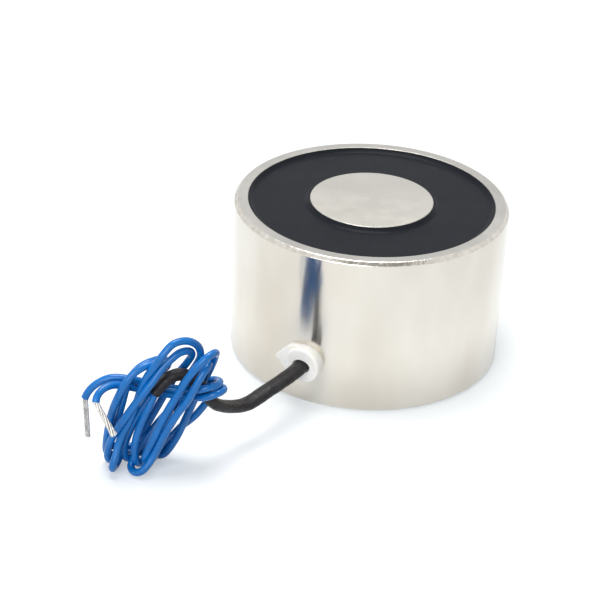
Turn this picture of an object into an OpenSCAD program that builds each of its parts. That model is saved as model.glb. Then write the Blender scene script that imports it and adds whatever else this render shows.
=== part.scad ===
// Holding electromagnet: a turned steel pot with a potted coil and a pair of lead wires.
// Millimetres. The back face lies on z = 0 and the holding face looks up along +Z.
// The cable bushing points along -Y, and the lead is gathered in a hank that stands in front of it.

/* [Pot] */
// Outer diameter of the pot
pot_d = 50; // [46:0.5:60]
// Height of the pot, from the back face to the holding face
pot_h = 30; // [26:0.5:40]
// Thickness of the pot's wall around the coil
wall_t = 2.5; // [1.8:0.1:3]
// Thickness of the pot's base
base_t = 5; // [4:0.1:5.6]
// Diameter of the centre pole
pole_d = 22.5; // [18:0.5:25]
// Chamfer on the outer edges of the pot
edge_chamfer = 0.6; // [0.2:0.1:1]
// Broken edge where the holding face meets the coil space
face_chamfer = 0.1; // [0.05:0.05:0.4]

/* [Rear thread] */
// Tapping diameter of the blind hole in the back
tap_d = 4.2; // [3.3:0.1:6.8]
// Depth of the tapped hole, without the drill's point
tap_depth = 9; // [6:0.5:14]
// Chamfer at the mouth of the tapped hole
tap_chamfer = 0.5; // [0.2:0.1:1]
// Angle of the drill's point
drill_angle = 118; // [90:2:140]

/* [Coil] */
// Room between the centre pole and the bobbin's bore
bobbin_clear = 0.2; // [0.1:0.05:0.5]
// Wall of the bobbin's tube
bobbin_wall = 0.8; // [0.6:0.1:1.2]
// Thickness of each bobbin flange
flange_t = 1; // [0.6:0.1:1.4]
// Room between the bobbin's flanges and the pot's wall
flange_gap = 2; // [1.8:0.1:3]
// How far the winding stays below the edge of the flanges
winding_drop = 1.8; // [1.5:0.1:3]
// Thickness of the tape round the winding
tape_t = 0.2; // [0.1:0.05:0.3]
// Diameter of the coil wire where it leaves the winding
magnet_wire_d = 0.5; // [0.3:0.05:0.7]

/* [Potting resin] */
// Depth of resin from the holding face down to the bobbin
resin_cover = 4; // [3:0.5:6]
// How far the middle of the resin lies below the holding face
resin_drop = 0.8; // [0.5:0.1:1.2]
// Width of the raised lip where the resin wets the steel
meniscus_w = 1.1; // [0.6:0.1:1.6]

/* [Cable bushing] */
// Height of the bushing's axis above the back face
bush_z = 8.6; // [8.5:0.1:12]
// Diameter of the hole in the pot's wall
bush_hole_d = 4.8; // [4.6:0.1:5]
// Room round the bushing's neck in that hole
bush_clear = 0.1; // [0.05:0.05:0.2]
// Diameter of the bushing's round head
head_d = 6.7; // [6.2:0.1:7.6]
// Thickness of the round head in front of the pot
head_t = 2; // [1.4:0.1:3]
// Chamfer on the front edge of the round head
head_chamfer = 0.4; // [0.2:0.1:0.8]
// Reach of the head's pointed wing from the bushing's axis
wing_reach = 5.9; // [5:0.1:6.6]
// Distance of the wing's shoulders from the bushing's axis
wing_shoulder = 2.8; // [2.2:0.1:3.2]
// Height of the wing at its shoulders
wing_h = 6.4; // [5.6:0.1:6.6]
// Thickness of the wing in front of the pot
wing_t = 0.9; // [0.6:0.1:1.2]
// Rounding of the wing's corners
wing_round = 0.5; // [0.2:0.1:0.8]
// How far the inner lip stands out beyond the wall's hole
lip_reach = 0.3; // [0.2:0.1:0.4]

/* [Lead] */
// Width of the sleeve over both wires
sleeve_w = 3; // [2.8:0.1:3.2]
// Height of the sleeve over both wires
sleeve_h = 2.1; // [1.8:0.1:2.4]
// Room between the sleeve and the bushing
sleeve_clear = 0.1; // [0.05:0.05:0.2]
// Diameter of one insulated wire
wire_d = 1.3; // [1:0.05:1.5]
// Diameter of the bare conductor
core_d = 0.8; // [0.5:0.05:0.9]
// Length of the bared end of wire a
bare_len_a = 7.6; // [4:0.1:8]
// Length of the bared end of wire b
bare_len_b = 6.2; // [4:0.1:8]
// Diameter of the sleeves over the soldered joints
joint_d = 2; // [1.7:0.1:2.4]

/* [Hank] */
// Radius of the hank's round ends
hank_r = 5.5; // [5:0.1:6]
// Distance between the centres of the round ends
hank_run = 16; // [14:0.5:18]
// Thickness of the hank
hank_t = 8; // [6:0.5:9]
// Lean of the hank to its right
hank_lean = 30; // [25:1:35]
// Turn of the hank about the vertical
hank_turn = 31; // [25:1:37]

/* [Hidden] */
$fn = 96;
cut = 1;

// Pot and coil radii, and levels along the axis
pot_r = pot_d / 2;
pole_r = pole_d / 2;
pocket_r = pot_r - wall_t;
bobbin_bore_r = pole_r + bobbin_clear;
bobbin_tube_r = bobbin_bore_r + bobbin_wall;
flange_r = pocket_r - flange_gap;
winding_r = flange_r - winding_drop;
tape_r = winding_r + tape_t;
bobbin_top = pot_h - resin_cover;
winding_z = base_t + flange_t;
winding_h = bobbin_top - flange_t - winding_z;

// Bushing distances are measured outwards from the pot's axis
neck_d = bush_hole_d - 2 * bush_clear;
lip_d = bush_hole_d + 2 * lip_reach;
lip_out = sqrt(pow(pocket_r, 2) - pow(lip_d / 2, 2)) - bush_clear;
lead_r = (tape_r + pocket_r) / 2;
bush_in = lead_r + wire_d / 2;
head_out = pot_r + head_t;

// Angles, seen from the axis, at which the inner leads, the joints and the coil's own wire end
lead_start = 1;
lead_end = 16;
joint_end = 42;
coil_wire_end = 48;

// The hank's own frame: right, away from the viewer, up
hank_foot = [-14, -57, 0];
hank_mid = 0.75;
hank_low = [-2, hank_r];
hank_right = [cos(hank_turn), sin(hank_turn), 0];
hank_away = [-sin(hank_turn), cos(hank_turn), 0];
hank_along = [sin(hank_lean), cos(hank_lean)];
hank_out = [cos(hank_lean), -sin(hank_lean)];

// Route of the sleeve from the bushing to the hank's right side
sleeve_enter = 11.6;
sleeve_depth = 2;
sleeve_lead_in = 4;
sleeve_path = [
    [0, -bush_in, bush_z],
    [0, -head_out - 1, bush_z],
    [-0.5, -33, 8.7],
    [-1.5, -37, 8.4],
    [-3, -41.5, 7.8],
    [-4.2, -45, 8.8],
    hank_side(1, sleeve_enter, sleeve_depth, sleeve_lead_in),
    hank_side(1, sleeve_enter, sleeve_depth, 0)
];

// Routes of the two tails from the hank's left side to their bared ends
tail_lead_out = 1.2;
tail_a_path = concat(tail_exit(9, 2.4), [for (p = [
    [-5.8, 2.4, 16.5], [-7.6, 2.4, 15.7], [-9, 2.4, 14.5], [-9.6, 2.4, 13.6], [-9.7, 2.4, 12.6]
]) hank_point(p)]);
tail_b_path = concat(tail_exit(7.7, 1.2), [for (p = [
    [-5.4, 0.6, 16.1], [-7, -0.7, 16], [-8.2, -2, 15.2], [-7.6, -2.6, 14.3]
]) hank_point(p)]);

function hank_point(p) = hank_foot + p[0] * hank_right + p[1] * hank_away + [0, 0, p[2]];

// A point on a flat side of the hank (1 right, -1 left), so far along it and so far clear of it
function hank_side(side, along, depth, clear) =
    let (p = hank_low + along * hank_along + side * (hank_r + clear) * hank_out)
    hank_point([p[0], depth, p[1]]);

function tail_exit(along, depth) = [for (clear = [0, tail_lead_out]) hank_side(-1, along, depth, clear)];

function unit(v) = v / norm(v);

// A point at a radius from the pot's axis, at an angle from the bushing
function round_axis(angle, r) = [r * sin(angle), -r * cos(angle), 0];

// Direction of travel at one point of a route
function heading(path, i) =
    let (last = len(path) - 1, before = max(i - 1, 0), after = min(i + 1, last))
    unit((i < last ? unit(path[after] - path[i]) : [0, 0, 0])
       + (i > 0 ? unit(path[i] - path[before]) : [0, 0, 0]));

// Ring of points round one point of a route, w wide across the side direction and h high
function ring(path, i, w, h, side) =
    let (t = heading(path, i), across = unit(side - (side * t) * t), up = cross(t, across))
    [for (k = [0:ring_sides - 1])
        let (a = (k + 0.5) * 360 / ring_sides)
        path[i] + w / 2 * cos(a) * across + h / 2 * sin(a) * up];

ring_sides = 8;

// Plain tube swept along a route, closed at both ends
module route_tube(path, w, h, side) {
    last = len(path) - 1;
    points = [for (i = [0:last]) each ring(path, i, w, h, side)];
    walls = [for (i = [0:last - 1], k = [0:ring_sides - 1])
        let (n = (k + 1) % ring_sides, a = i * ring_sides, b = a + ring_sides)
        each [[a + k, b + k, b + n], [a + k, b + n, a + n]]];
    near_cap = [for (k = [0:ring_sides - 1]) k];
    far_cap = [for (k = [ring_sides - 1:-1:0]) last * ring_sides + k];
    polyhedron(points, concat(walls, [near_cap, far_cap]));
}

// Straight round rod from a point in a given direction
module rod(start, t, length, d) {
    translate(start) rotate([0, acos(t[2]), atan2(t[1], t[0])]) cylinder(d = d, h = length, $fn = 32);
}

// Ring about the pot's axis between two radii
module band(inner, outer, z, h) {
    translate([0, 0, z]) difference() {
        cylinder(r = outer, h = h);
        translate([0, 0, -cut]) cylinder(r = inner, h = h + 2 * cut);
    }
}

// Round wire bent about the pot's axis; side -1 runs left of the bushing, 1 runs right
module bent_wire(side, from, to, d) {
    start = side > 0 ? -90 + from : -90 - to;
    translate([0, 0, bush_z]) rotate(start)
        rotate_extrude(angle = to - from) translate([lead_r, 0]) circle(d = d, $fn = 32);
}

// Local frame of the bushing: z runs outwards from the pot's axis, y runs up
module at_bushing(out) {
    translate([0, -out, bush_z]) rotate([90, 0, 0]) children();
}

// Outline of an oval slot
module oval(w, h) {
    for (s = [-1, 1]) translate([s * (w - h) / 2, 0]) circle(d = h, $fn = 48);
    square([w - h, h], center = true);
}

// Turned steel pot with the centre pole in one piece, drilled for the bushing and tapped in the back
module steel_pot() {
    color("lightgray") difference() {
        rotate_extrude() polygon([
            [0, 0], [pot_r - edge_chamfer, 0], [pot_r, edge_chamfer],
            [pot_r, pot_h - edge_chamfer], [pot_r - edge_chamfer, pot_h],
            [pocket_r + face_chamfer, pot_h], [pocket_r, pot_h - face_chamfer],
            [pocket_r, base_t], [pole_r, base_t],
            [pole_r, pot_h - face_chamfer], [pole_r - face_chamfer, pot_h], [0, pot_h]
        ]);
        translate([0, 0, -cut]) cylinder(d = tap_d, h = tap_depth + cut);
        translate([0, 0, tap_depth]) cylinder(d1 = tap_d, d2 = 0, h = tap_d / 2 / tan(drill_angle / 2));
        translate([0, 0, -cut])
            cylinder(r1 = tap_d / 2 + tap_chamfer + cut, r2 = tap_d / 2, h = tap_chamfer + cut);
        at_bushing(flange_r) cylinder(d = bush_hole_d, h = pot_r - flange_r + cut);
    }
}

// Moulded bobbin with two flanges
module coil_bobbin() {
    color("ivory") rotate_extrude() polygon([
        [bobbin_bore_r, base_t], [flange_r, base_t], [flange_r, winding_z],
        [bobbin_tube_r, winding_z], [bobbin_tube_r, winding_z + winding_h],
        [flange_r, winding_z + winding_h], [flange_r, bobbin_top], [bobbin_bore_r, bobbin_top]
    ]);
}

// One end of the coil's own wire, straight from its joint in through the tape to the winding
module coil_wire(side) {
    joint_face = round_axis(side * joint_end, lead_r);
    along = side * [-joint_face[1], joint_face[0], 0] / lead_r;
    start = joint_face + magnet_wire_d / 2 * along + [0, 0, bush_z];
    finish = round_axis(side * coil_wire_end, winding_r - magnet_wire_d) + [0, 0, bush_z];
    rod(start, unit(finish - start), norm(finish - start), magnet_wire_d);
}

// Winding as one ring, with its two wire ends
module coil_winding() {
    color("chocolate") {
        band(bobbin_tube_r, winding_r, winding_z, winding_h);
        for (side = [-1, 1]) coil_wire(side);
    }
}

// Tape round the winding
module winding_tape() {
    color("gold") difference() {
        band(winding_r, tape_r, winding_z, winding_h);
        for (side = [-1, 1]) coil_wire(side);
    }
}

// Ends of the two lead wires inside the pot
module inner_lead_a() {
    color("royalblue") bent_wire(-1, lead_start, lead_end, wire_d);
}

module inner_lead_b() {
    color("royalblue") bent_wire(1, lead_start, lead_end, wire_d);
}

// Sleeves over the soldered joints between the lead and the coil
module joint_sleeve_a() {
    color("dimgray") bent_wire(-1, lead_end, joint_end, joint_d);
}

module joint_sleeve_b() {
    color("dimgray") bent_wire(1, lead_end, joint_end, joint_d);
}

// Height of the resin's lip at a share of its width away from the steel
function lip_z(share) = pot_h - resin_drop + (resin_drop - face_chamfer) * (1 - sin(90 * share));

lip_steps = 6;

// Resin cast round the coil, with a raised lip along the pole and the wall
module potting_resin() {
    color("darkslategray") difference() {
        rotate_extrude() polygon(concat(
            [[pole_r, base_t], [pocket_r, base_t]],
            [for (i = [0:lip_steps]) [pocket_r - meniscus_w * i / lip_steps, lip_z(i / lip_steps)]],
            [for (i = [lip_steps:-1:0]) [pole_r + meniscus_w * i / lip_steps, lip_z(i / lip_steps)]]
        ));
        coil_bobbin();
        coil_winding();
        winding_tape();
        inner_lead_a();
        inner_lead_b();
        joint_sleeve_a();
        joint_sleeve_b();
        bushing_neck();
    }
}

// Neck of the bushing with the lip that holds it behind the wall
module bushing_neck() {
    at_bushing(bush_in) {
        cylinder(d = neck_d, h = pot_r - bush_in);
        cylinder(d = lip_d, h = lip_out - bush_in);
    }
}

// Outline of the head's wing: pointed on the left, and level with the round head on the right
module wing_outline() {
    offset(r = wing_round, $fn = 32) offset(delta = -wing_round) polygon([
        [-wing_reach, 0], [-wing_shoulder, wing_h / 2], [0, wing_h / 2], [0, -wing_h / 2],
        [-wing_shoulder, -wing_h / 2]
    ]);
}

// Front of the bushing before it is shaped to the pot: a round head on a thinner wing
module bushing_head() {
    at_bushing(pocket_r) {
        linear_extrude(wall_t + wing_t) wing_outline();
        cylinder(d = head_d, h = wall_t + head_t - head_chamfer);
    }
    at_bushing(head_out - head_chamfer)
        cylinder(d1 = head_d, d2 = head_d - 2 * head_chamfer, h = head_chamfer);
}

// Moulded bushing, with its head shaped to the pot's round side
module cable_bushing() {
    color("white") difference() {
        union() {
            difference() {
                bushing_head();
                cylinder(r = pot_r, h = pot_h);
            }
            bushing_neck();
        }
        at_bushing(bush_in - cut) linear_extrude(head_out - bush_in + 2 * cut)
            oval(sleeve_w + 2 * sleeve_clear, sleeve_h + 2 * sleeve_clear);
    }
}

// Shrunk sleeve over both wires, from the bushing to the hank
module lead_sleeve() {
    color("darkslategray") route_tube(sleeve_path, sleeve_w, sleeve_h, [1, 0, 0]);
}

// Outer shape of the gathered wires: a leaning outline with round ends, standing on the table
module wire_hank() {
    color("dodgerblue") translate(hank_foot) rotate(hank_turn)
        translate([0, hank_mid + hank_t / 2, 0]) rotate([90, 0, 0]) linear_extrude(hank_t)
            translate(hank_low) rotate(-hank_lean) {
                for (y = [0, hank_run]) translate([0, y]) circle(r = hank_r);
                translate([-hank_r, 0]) square([2 * hank_r, hank_run]);
            }
}

// Free ends of the two wires
module lead_tail_a() {
    color("dodgerblue") route_tube(tail_a_path, wire_d, wire_d, hank_away);
}

module lead_tail_b() {
    color("dodgerblue") route_tube(tail_b_path, wire_d, wire_d, [0, 0, 1] - hank_away);
}

// Bared strands, straight on from the end of a route
module bare_end(path, length) {
    last = len(path) - 1;
    color("silver") rod(path[last], heading(path, last), length, core_d);
}

module bare_end_a() {
    bare_end(tail_a_path, bare_len_a);
}

module bare_end_b() {
    bare_end(tail_b_path, bare_len_b);
}

steel_pot();
coil_bobbin();
coil_winding();
winding_tape();
inner_lead_a();
inner_lead_b();
joint_sleeve_a();
joint_sleeve_b();
potting_resin();
cable_bushing();
lead_sleeve();
wire_hank();
lead_tail_a();
lead_tail_b();
bare_end_a();
bare_end_b();
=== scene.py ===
# %% [markdown]
# # A holding electromagnet, from CAD frame to finished picture
#
# The object is a small pot magnet: a turned steel cup with a coil cast into it, and two blue wires that
# leave through a white bushing and stand beside it in a loose hank. The solids come from CAD. This lesson
# adds what solids alone don't have: polished nickel, satin resin, real strands of wire and a soft studio.

# %% Load the frame
import math

import bmesh
import bpy
import numpy as np
from mathutils import Matrix, Vector


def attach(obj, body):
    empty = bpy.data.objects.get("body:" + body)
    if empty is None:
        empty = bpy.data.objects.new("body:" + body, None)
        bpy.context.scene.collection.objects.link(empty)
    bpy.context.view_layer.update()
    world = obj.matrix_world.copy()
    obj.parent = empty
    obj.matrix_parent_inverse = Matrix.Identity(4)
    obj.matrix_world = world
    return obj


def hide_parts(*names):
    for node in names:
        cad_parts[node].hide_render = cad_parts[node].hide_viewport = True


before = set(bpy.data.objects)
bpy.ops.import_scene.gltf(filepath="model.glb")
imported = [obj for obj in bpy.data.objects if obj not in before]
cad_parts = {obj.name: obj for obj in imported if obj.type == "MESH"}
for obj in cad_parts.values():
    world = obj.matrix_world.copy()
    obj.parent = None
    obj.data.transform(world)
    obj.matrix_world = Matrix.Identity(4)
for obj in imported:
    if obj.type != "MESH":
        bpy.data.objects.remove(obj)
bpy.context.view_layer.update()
scene = bpy.context.scene
MM = 0.001
print("CAD nodes:", len(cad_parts))

# %% [markdown]
# ## The camera
#
# A product photograph is easiest to match when the camera is settled before any surface is made. The rim
# and the base of a round pot are two circles of known size, and their ellipses in the picture fix the
# distance, the tilt and the lens. One matrix then places the camera: a turn about the vertical, a tilt,
# and a slight roll.

# %% Camera
CAMERA_PLACE = Vector((119.86, -279.77, 177.97)) * MM
CAMERA_HEADING = math.radians(25.5)
CAMERA_TILT = math.radians(29.15)
CAMERA_ROLL = math.radians(2.47)
CAMERA_LENS = 111.38
SENSOR_WIDTH = 36.0
NEAREST_SEEN = 10 * MM

camera_data = bpy.data.cameras.new("photo_camera")
camera_data.sensor_width = SENSOR_WIDTH
camera_data.lens = CAMERA_LENS
camera_data.clip_start = NEAREST_SEEN
camera = bpy.data.objects.new("photo_camera", camera_data)
camera.matrix_world = (
    Matrix.Translation(CAMERA_PLACE)
    @ Matrix.Rotation(CAMERA_HEADING, 4, "Z")
    @ Matrix.Rotation(math.pi / 2 - CAMERA_TILT, 4, "X")
    @ Matrix.Rotation(CAMERA_ROLL, 4, "Z")
)
scene.collection.objects.link(camera)
scene.camera = camera
print("camera stands", round(CAMERA_PLACE.length, 3), "m from the pot")

# %% [markdown]
# ## Routes for the sleeve and the wires
#
# A wire is a line before it is a tube. Each line is a short list of points, chosen against the photograph,
# and a smooth curve is drawn through them. The curve here passes through every point and its pace follows
# the distance between points, so that tight loops don't overshoot. The hank has a frame of its own, right,
# away and up, because its turns all lie in one upright sheet that is turned about the vertical.

# %% Frame of the hank
HANK_FOOT = np.array((-14.0, -57.0, 0.0))
HANK_TURN = math.radians(31)
HANK_AXES = np.array((
    (math.cos(HANK_TURN), math.sin(HANK_TURN), 0.0),
    (-math.sin(HANK_TURN), math.cos(HANK_TURN), 0.0),
    (0.0, 0.0, 1.0),
))


def in_hank(points):
    """Points given as right, away and up in the hank's own frame, in the part's frame."""
    return HANK_FOOT + np.array(points, float) @ HANK_AXES


print("the hank stands", round(float(np.linalg.norm(HANK_FOOT))), "mm from the pot's axis")

# %% Smooth routes
TINY = 1e-9


def arc_lengths(route):
    """How far along the route each of its points lies."""
    steps = np.linalg.norm(np.diff(route, axis=0), axis=1)
    return np.concatenate(((0.0,), np.cumsum(steps)))


def even_route(route, spacing):
    """The same line with points at an even spacing."""
    along = arc_lengths(route)
    count = max(2, int(round(along[-1] / spacing)) + 1)
    wanted = np.linspace(0.0, along[-1], count)
    return np.stack([np.interp(wanted, along, route[:, k]) for k in range(3)], axis=1)


def smooth_route(points, spacing, steps=24):
    """A smooth curve through the points, with even steps along it."""
    points = np.array(points, float)
    first = 2 * points[0] - points[1]
    last = 2 * points[-1] - points[-2]
    knots = np.vstack((first, points, last))
    curve = []
    for before, start, end, after in zip(knots, knots[1:], knots[2:], knots[3:]):
        pace = [max(math.sqrt(np.linalg.norm(b - a)), TINY)
                for a, b in ((before, start), (start, end), (end, after))]
        leave = pace[1] * ((start - before) / pace[0] - (end - before) / (pace[0] + pace[1])
                           + (end - start) / pace[1])
        arrive = pace[1] * ((end - start) / pace[1] - (after - start) / (pace[1] + pace[2])
                            + (after - end) / pace[2])
        for t in np.arange(steps) / steps:
            curve.append((2 * t**3 - 3 * t**2 + 1) * start + (t**3 - 2 * t**2 + t) * leave
                         + (3 * t**2 - 2 * t**3) * end + (t**3 - t**2) * arrive)
    curve.append(points[-1])
    return even_route(np.array(curve), spacing)


# Millimetres: from the bushing to the hank in the part's frame, then through the hank in its own frame
SLEEVE_OUT = [(0, -21.35, 8.6), (0, -28, 8.6), (-0.5, -33, 8.7), (-1.5, -37, 8.4), (-3, -41.5, 7.8),
              (-4.2, -45, 8.8)]
SLEEVE_ARCH = [(11.6, 2.3, 11.4), (10.2, 2.0, 13.4), (8.7, 1.6, 15.9), (7.3, 1.3, 17.3), (5.8, 1.1, 17.8),
               (4.4, 0.9, 17.5), (3.3, 0.7, 16.6), (2.4, 0.6, 15.6), (1.7, 0.5, 14.7)]
ROUTE_STEP = 0.4
sleeve_route = smooth_route(np.vstack((SLEEVE_OUT, in_hank(SLEEVE_ARCH))), ROUTE_STEP)
print("sleeve line", round(arc_lengths(sleeve_route)[-1], 1), "mm")

# %% [markdown]
# ## The turns of the two wires
#
# The two wires leave the sleeve together, go four times round the hank, turn back at its right side, cross
# its middle and end at the left. Each inner list below is one turn of one wire, and the last one is its
# way to the free end, in millimetres in the hank's frame. The front of each turn follows what can be seen,
# and its back is a guess at how a hand would have wound it.

# %% Wire turns
WIRE_A_TURNS = [
    [(2.4, 1.2, 15.6), (1.7, 1.1, 14.7), (0.9, 0.9, 13.6), (-0.1, 0.5, 12.0), (-1.0, 0.2, 10.5),
     (-1.9, 0.0, 8.8), (-2.8, 0.0, 6.4), (-3.2, 0.0, 4.2), (-3.1, 0.1, 2.5), (-2.6, 0.4, 1.1),
     (-2.0, 1.3, 0.7), (-1.2, 2.4, 1.2), (-0.3, 3.3, 2.8), (0.7, 3.7, 5.4), (2.7, 3.9, 10.2),
     (5.0, 4.0, 15.3), (6.9, 3.6, 18.4), (7.7, 2.6, 20.8), (7.1, 1.5, 22.2)],
    [(5.6, 0.6, 22.5), (3.9, 0.0, 21.5), (2.2, -0.5, 20.0), (0.7, -1.0, 17.9), (-0.7, -1.3, 15.7),
     (-2.1, -1.4, 13.2), (-3.4, -1.4, 10.7), (-4.5, -1.2, 8.5), (-5.4, -0.8, 6.3), (-6.0, -0.4, 4.1),
     (-6.2, -0.1, 2.4), (-6.0, 0.4, 1.1), (-5.4, 1.3, 0.7), (-4.9, 2.4, 1.1), (-4.1, 3.3, 2.7),
     (-3.2, 3.8, 5.2), (-1.2, 4.3, 9.6), (1.2, 4.6, 13.8), (3.1, 4.6, 16.0), (4.2, 4.3, 17.3)],
    [(4.2, 3.7, 18.5), (3.1, 2.9, 19.3), (1.6, 1.9, 19.6), (0.3, 1.1, 19.6), (-1.1, 0.4, 19.0),
     (-2.3, 0.0, 17.6), (-3.1, 0.0, 15.4), (-3.6, 0.4, 12.9), (-4.1, 1.0, 10.4), (-4.8, 1.6, 7.5),
     (-5.4, 1.8, 4.8), (-5.4, 2.1, 2.9), (-4.8, 2.9, 1.4), (-3.6, 3.7, 0.8), (-1.8, 4.2, 0.7),
     (0.4, 4.2, 0.9), (2.2, 3.9, 2.0), (4.2, 3.8, 5.0), (6.4, 3.9, 10.0), (8.4, 3.7, 14.5),
     (9.7, 3.2, 17.2), (10.6, 2.2, 19.0)],
    [(10.9, 0.9, 20.0), (10.6, -0.5, 20.3), (9.8, -1.3, 19.5), (8.4, -1.8, 17.1), (7.0, -2.0, 14.4),
     (5.6, -2.1, 12.4), (4.3, -2.1, 10.1), (3.2, -2.0, 7.8), (2.3, -2.0, 5.7), (1.4, -2.2, 3.9),
     (0.3, -2.7, 2.2), (-0.8, -2.8, 1.1), (-1.8, -2.2, 0.7), (-2.3, -1.0, 0.8), (-2.1, 0.4, 1.4),
     (-1.2, 1.8, 2.6), (0.7, 3.1, 4.5), (3.4, 4.3, 7.4), (6.6, 4.9, 10.6), (9.2, 5.1, 13.0)],
    [(11.1, 4.8, 14.5), (12.4, 3.9, 15.2), (12.8, 2.6, 15.8), (12.5, 1.2, 16.3), (11.3, 0.4, 16.6),
     (9.6, 0.9, 16.1), (7.5, 2.2, 15.3), (4.6, 3.0, 14.7), (0.9, 3.0, 15.3), (-1.4, 2.6, 15.9),
     (-3.1, 2.4, 16.3), (-4.6, 2.4, 16.5), (-6.0, 2.4, 16.3), (-7.4, 2.4, 15.6), (-8.6, 2.4, 14.6),
     (-9.4, 2.4, 13.5), (-9.8, 2.4, 12.6)],
]
WIRE_B_TURNS = [
    [(2.4, 0.0, 15.6), (1.7, -0.1, 14.7), (1.3, -0.3, 13.8), (0.6, -0.6, 12.4), (-0.5, -0.8, 9.7),
     (-1.4, -0.9, 7.0), (-1.8, -0.9, 4.6), (-1.8, -0.8, 3.0), (-1.5, -0.5, 1.5), (-0.9, 0.2, 0.8),
     (-0.1, 1.3, 0.7), (0.8, 2.4, 1.6), (1.8, 3.3, 3.8), (4.0, 4.0, 9.0), (6.4, 4.2, 14.0),
     (8.6, 3.9, 17.8), (9.3, 3.2, 20.2), (8.7, 2.1, 22.7)],
    [(6.9, 1.0, 24.2), (4.8, 0.0, 24.2), (3.4, -0.6, 22.9), (2.1, -0.8, 20.9), (0.6, -0.6, 18.3),
     (-0.6, -0.4, 15.3), (-1.6, -0.5, 12.3), (-2.6, -0.8, 10.0), (-3.8, -1.2, 7.7), (-4.6, -1.6, 5.6),
     (-5.1, -2.3, 3.8), (-5.6, -2.8, 2.3), (-5.8, -2.5, 1.2), (-5.6, -1.5, 0.7), (-5.1, -0.1, 0.7),
     (-4.4, 1.2, 1.5), (-3.4, 2.2, 3.6), (-2.0, 2.8, 7.0), (-0.1, 3.3, 11.4), (1.8, 3.4, 15.6)],
    [(3.0, 3.2, 17.4), (3.5, 2.5, 18.9), (2.9, 1.5, 19.8), (1.5, 0.5, 20.1), (-0.2, -0.4, 19.9),
     (-1.8, -1.0, 19.0), (-3.1, -1.3, 17.3), (-4.2, -1.0, 14.9), (-5.2, -0.3, 11.7), (-5.8, 0.6, 7.9),
     (-6.1, 1.3, 4.4), (-6.0, 1.8, 2.4), (-5.3, 2.6, 1.1), (-4.0, 3.3, 0.7), (-2.0, 3.6, 0.7),
     (0.2, 3.5, 0.8), (1.6, 3.0, 0.7), (2.8, 2.5, 1.1), (3.7, 2.2, 2.3), (5.3, 2.2, 4.9),
     (6.9, 2.4, 8.4), (8.7, 2.7, 12.6), (10.2, 2.8, 16.3), (11.1, 2.6, 18.8), (11.6, 1.8, 21.0)],
    [(11.6, 0.5, 22.3), (11.0, -0.7, 22.8), (10.0, -1.4, 22.4), (8.4, -1.6, 20.6), (7.0, -1.5, 18.5),
     (5.5, -1.6, 15.7), (3.9, -1.7, 12.8), (2.5, -1.7, 9.8), (1.4, -1.6, 7.1), (0.3, -1.4, 4.6),
     (-0.3, -1.1, 2.9), (-0.4, -0.3, 1.6), (0.1, 0.8, 0.9), (1.1, 2.1, 1.1), (2.4, 3.2, 2.2),
     (4.1, 3.8, 3.7), (5.8, 4.2, 5.5), (8.4, 4.3, 7.8), (10.5, 4.3, 10.6), (12.0, 4.0, 12.8)],
    [(13.0, 3.0, 14.3), (13.3, 1.6, 15.0), (12.8, 0.4, 15.3), (11.7, -0.1, 15.2), (10.8, 0.3, 14.7),
     (9.2, 1.2, 14.1), (5.9, 2.6, 13.3), (2.6, 2.7, 13.8), (-0.7, 2.4, 14.6), (-3.4, 1.2, 15.8),
     (-5.2, 0.4, 16.3), (-6.8, -0.7, 16.1), (-7.7, -1.7, 15.4), (-7.9, -2.3, 14.6)],
]
print("points in the turns:", sum(map(len, WIRE_A_TURNS)), "and", sum(map(len, WIRE_B_TURNS)))

# %% [markdown]
# ## Room between the strands
#
# The given lines cross each other here and there, which real wires can't. A simulation could part them,
# but it would also let the hank fall open. A short loop is enough: it nudges strands apart until they only
# touch, and averages the nudges along the wire, as a springy wire spreads a push. It also opens the bends
# that are too tight, and the table holds the lowest turns up. The wires' ends stay where they are.

# %% Settle the strands
WIRE_D = 1.3
SLEEVE_W = 3.0
SLEEVE_H = 2.1
SLEEVE_GAP = WIRE_D / 2 + SLEEVE_H / 2
PINNED = 4.0
NEIGHBOUR_REACH = 3 * WIRE_D
TIGHTEST_BEND = 2.0
SETTLE_STEP = 2 * ROUTE_STEP
SETTLE_PASSES = 160
ALLOWED_SAG = SETTLE_STEP**2 / (2 * TIGHTEST_BEND)
EASE = 0.5
OWN_SHARE = 0.5
SIDE_SHARE = 0.25
STEPS_BETWEEN_SETTLED = 6


def push_apart(place, neighbours):
    """The mean push on each point, away from the strands that are too close to it."""
    gap = place[:, None, :] - place[None, :, :]
    distance = np.linalg.norm(gap, axis=2) + TINY
    short = np.where(neighbours, 0.0, np.clip(WIRE_D - distance, 0.0, None))
    push = (gap / distance[:, :, None] * short[:, :, None]).sum(axis=1)
    return push / np.maximum((short > 0).sum(axis=1), 1)[:, None]


def push_off_sleeve(place):
    """The push on each point out of the sleeve."""
    off = place[:, None, :] - sleeve_route[None, :, :]
    nearest = np.linalg.norm(off, axis=2).argmin(axis=1)
    away = off[np.arange(len(place)), nearest]
    reach = np.linalg.norm(away, axis=1)
    deep = np.clip(SLEEVE_GAP - reach, 0.0, None)
    return away / reach[:, None] * deep[:, None]


def springy(home, nudge):
    """One wire's nudges, averaged along it and with its tightest bends opened."""
    part = np.pad(nudge, ((1, 1), (0, 0)), mode="edge")
    spread = SIDE_SHARE * part[:-2] + OWN_SHARE * part[1:-1] + SIDE_SHARE * part[2:]
    line = home + spread
    sag = np.zeros_like(line)
    sag[1:-1] = (line[:-2] + line[2:]) / 2 - line[1:-1]
    depth = np.linalg.norm(sag, axis=1) + TINY
    return spread + EASE * sag * np.clip(1 - ALLOWED_SAG / depth, 0.0, None)[:, None]


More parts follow.
